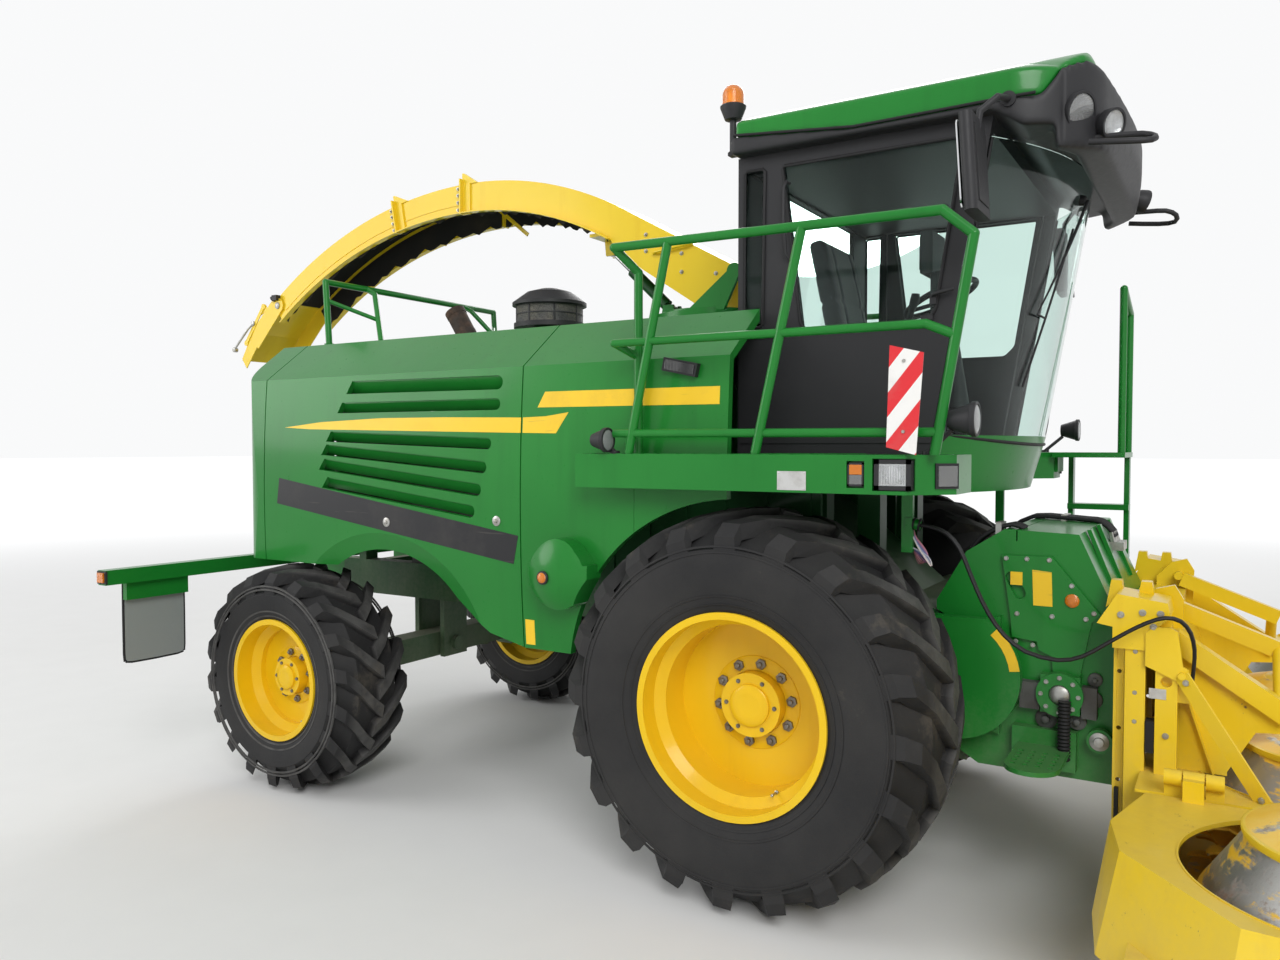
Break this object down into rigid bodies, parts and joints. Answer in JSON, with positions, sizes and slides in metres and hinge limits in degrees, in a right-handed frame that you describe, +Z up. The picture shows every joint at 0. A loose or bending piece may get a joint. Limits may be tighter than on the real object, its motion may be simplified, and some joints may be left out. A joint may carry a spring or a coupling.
{
  "type": "self-propelled forage harvester",
  "caption": "Self-propelled forage harvester: cab, engine body, turning spout on an arm, four wheels, steered rear axle and a rotary maize header with folding wings.",
  "frame": {"origin": "centre of the machine's outline on the ground, below the wheels", "axes": "+X forward towards the header, +Y to the driver's left, +Z up"},
  "size_m": [8.6218, 4.58, 4.0147],
  "materials": {
    "body_paint": "gloss, weathered",
    "chassis_paint": "semi-gloss, dusty",
    "yellow_paint": "gloss, weathered",
    "engine_iron": "rough, oily",
    "tyre_rubber": "matt, dusty",
    "dark_plastic": "fine grained",
    "grey_plastic": "flat sheet",
    "rusty_steel": "rusty",
    "cab_glass": "clear, slightly green",
    "seat_cloth": "woven",
    "lamp_plastic": "clear lens in a dark shell",
    "amber_plastic": "ribbed lens",
    "polished_rod": "polished",
    "header_steel": "worn yellow paint over bare steel",
    "cable_rubber": "matt"
  },
  "bodies": {
    "chassis": {"main_frame": "chassis_paint", "front_axle": "chassis_paint", "engine_block": "engine_iron", "rear_axle": "chassis_paint", "side_panels": "body_paint", "rear_panel": "body_paint", "hood_deck": "body_paint", "air_intake": "dark_plastic", "exhaust": "rusty_steel", "spout_cradle": "body_paint", "rear_light_arms": "body_paint", "reflector_plates": "grey_plastic", "platforms": "body_paint", "railings": "body_paint", "ladder": "body_paint", "cab_body": "dark_plastic", "cab_windows": "cab_glass", "windscreen": "cab_glass", "cab_skirt": "body_paint", "roof_fascia": "dark_plastic", "roof_cap": "body_paint", "cab_fittings": "dark_plastic", "seat": "seat_cloth", "mirrors": "dark_plastic", "lamps": "lamp_plastic", "beacon": "amber_plastic", "cutter_housing": "chassis_paint", "drive_covers": "body_paint"},
    "wheel_front_right": {"rim_front_right": "yellow_paint", "tyre_front_right": "tyre_rubber"},
    "wheel_front_left": {"rim_front_left": "yellow_paint", "tyre_front_left": "tyre_rubber"},
    "steer_right": {"knuckle_right": "chassis_paint"},
    "steer_left": {"knuckle_left": "chassis_paint"},
    "wheel_rear_right": {"rim_rear_right": "yellow_paint", "tyre_rear_right": "tyre_rubber"},
    "wheel_rear_left": {"rim_rear_left": "yellow_paint", "tyre_rear_left": "tyre_rubber"},
    "steering_link": {"tie_rod": "chassis_paint"},
    "door_body": {"cab_door": "dark_plastic", "door_glass": "cab_glass"},
    "hood_right": {"hood_door_right": "body_paint"},
    "hood_left": {"hood_door_left": "body_paint"},
    "turret": {"turntable": "body_paint"},
    "spout_body": {"spout": "yellow_paint"},
    "flap": {"spout_flap": "yellow_paint"},
    "spout_cylinder": {"spout_barrel": "chassis_paint"},
    "spout_piston": {"spout_rod": "polished_rod"},
    "feeder": {"feeder_house": "body_paint", "header_frame": "yellow_paint", "header_cable": "cable_rubber"},
    "lift_cylinders": {"lift_barrels": "chassis_paint"},
    "lift_pistons": {"lift_rods": "polished_rod"},
    "wing_right": {"header_wing_right": "yellow_paint"},
    "wing_left": {"header_wing_left": "yellow_paint"},
    "rotor_a": {"rotor_outer_right": "header_steel"},
    "rotor_b": {"rotor_inner_right": "header_steel"},
    "rotor_c": {"rotor_inner_left": "header_steel"},
    "rotor_d": {"rotor_outer_left": "header_steel"}
  },
  "joints": [
    {"name": "front_wheel_right_spin", "type": "hinge", "parent": "chassis", "child": "wheel_front_right", "pos_m": [0.76094, -1.125, 0.925], "axis": [0, 1, 0], "continuous": true},
    {"name": "front_wheel_left_spin", "type": "hinge", "parent": "chassis", "child": "wheel_front_left", "pos_m": [0.76094, 1.125, 0.925], "axis": [0, 1, 0], "continuous": true},
    {"name": "steering_right", "type": "hinge", "parent": "chassis", "child": "steer_right", "pos_m": [-2.33906, -0.8, 0.7], "axis": [0, 0, 1], "range_deg": [-38, 38]},
    {"name": "steering_left", "type": "hinge", "parent": "chassis", "child": "steer_left", "pos_m": [-2.33906, 0.8, 0.7], "axis": [0, 0, 1], "range_deg": [-40, 40]},
    {"name": "rear_wheel_right_spin", "type": "hinge", "parent": "steer_right", "child": "wheel_rear_right", "pos_m": [-2.33906, -1.2375, 0.7], "axis": [0, 1, 0], "continuous": true},
    {"name": "rear_wheel_left_spin", "type": "hinge", "parent": "steer_left", "child": "wheel_rear_left", "pos_m": [-2.33906, 1.2375, 0.7], "axis": [0, 1, 0], "continuous": true},
    {"name": "steering_link_slide", "type": "slide", "parent": "chassis", "child": "steering_link", "axis": [0, 1, 0], "range_m": [-0.19, 0.19]},
    {"name": "cab_door_swing", "type": "hinge", "parent": "chassis", "child": "door_body", "pos_m": [0.70094, 0.935, 2.13], "axis": [0, 0, 1], "range_deg": [0, 75]},
    {"name": "hood_door_right_lift", "type": "hinge", "parent": "chassis", "child": "hood_right", "pos_m": [-1.53906, -0.99, 2.788], "axis": [-1, 0, 0], "range_deg": [0, 60]},
    {"name": "hood_door_left_lift", "type": "hinge", "parent": "chassis", "child": "hood_left", "pos_m": [-1.53906, 0.99, 2.788], "axis": [1, 0, 0], "range_deg": [0, 60]},
    {"name": "spout_slew", "type": "hinge", "parent": "chassis", "child": "turret", "pos_m": [-0.08906, 0, 2.87], "axis": [0, 0, 1], "range_deg": [-100, 100]},
    {"name": "spout_lift", "type": "hinge", "parent": "turret", "child": "spout_body", "pos_m": [0.19094, 0, 3.15], "axis": [0, 1, 0], "range_deg": [0, 30]},
    {"name": "spout_flap_tilt", "type": "hinge", "parent": "spout_body", "child": "flap", "pos_m": [-3.84929, 0, 3.25908], "axis": [0, 1, 0], "range_deg": [-30, 20]},
    {"name": "spout_cylinder_swing", "type": "hinge", "parent": "turret", "child": "spout_cylinder", "pos_m": [-0.35906, 0, 2.99], "axis": [0, 1, 0], "range_deg": [-8, 45.05]},
    {"name": "spout_piston_slide", "type": "slide", "parent": "spout_cylinder", "child": "spout_piston", "axis": [-0.7316, 0, 0.6817], "range_m": [-0.05, 0.315]},
    {"name": "header_lift", "type": "hinge", "parent": "chassis", "child": "feeder", "pos_m": [1.31094, 0, 1.05], "axis": [0, -1, 0], "range_deg": [-4, 14], "deforming": ["header_cable"]},
    {"name": "lift_cylinder_swing", "type": "hinge", "parent": "chassis", "child": "lift_cylinders", "pos_m": [0.91094, 0, 0.62], "axis": [0, -1, 0], "range_deg": [-4.4, 10.41]},
    {"name": "lift_piston_slide", "type": "slide", "parent": "lift_cylinders", "child": "lift_pistons", "axis": [0.998, 0, -0.063], "range_m": [-0.05, 0.126]},
    {"name": "wing_right_fold", "type": "hinge", "parent": "feeder", "child": "wing_right", "pos_m": [3.06094, -1.12, 0.87], "axis": [-1, 0, 0], "range_deg": [0, 95]},
    {"name": "wing_left_fold", "type": "hinge", "parent": "feeder", "child": "wing_left", "pos_m": [3.06094, 1.12, 0.87], "axis": [1, 0, 0], "range_deg": [0, 95]},
    {"name": "rotor_outer_right_spin", "type": "hinge", "parent": "wing_right", "child": "rotor_a", "pos_m": [3.06094, -1.68, 0.5], "axis": [0, 0, 1], "continuous": true},
    {"name": "rotor_inner_right_spin", "type": "hinge", "parent": "feeder", "child": "rotor_b", "pos_m": [3.06094, -0.56, 0.5], "axis": [0, 0, 1], "continuous": true},
    {"name": "rotor_inner_left_spin", "type": "hinge", "parent": "feeder", "child": "rotor_c", "pos_m": [3.06094, 0.56, 0.5], "axis": [0, 0, 1], "continuous": true},
    {"name": "rotor_outer_left_spin", "type": "hinge", "parent": "wing_left", "child": "rotor_d", "pos_m": [3.06094, 1.68, 0.5], "axis": [0, 0, 1], "continuous": true}
  ],
  "couplings": [
    {"joint": "steering_left", "follows": "steering_right", "ratio": 1},
    {"joint": "steering_link_slide", "follows": "steering_right", "m_per_rad": -0.28},
    {"joint": "spout_cylinder_swing", "follows": "spout_lift", "ratio": 1.2349},
    {"joint": "spout_piston_slide", "follows": "spout_lift", "m_per_rad": 0.5439},
    {"joint": "lift_cylinder_swing", "follows": "header_lift", "ratio": 0.6008},
    {"joint": "lift_piston_slide", "follows": "header_lift", "m_per_rad": 0.4332}
  ]
}
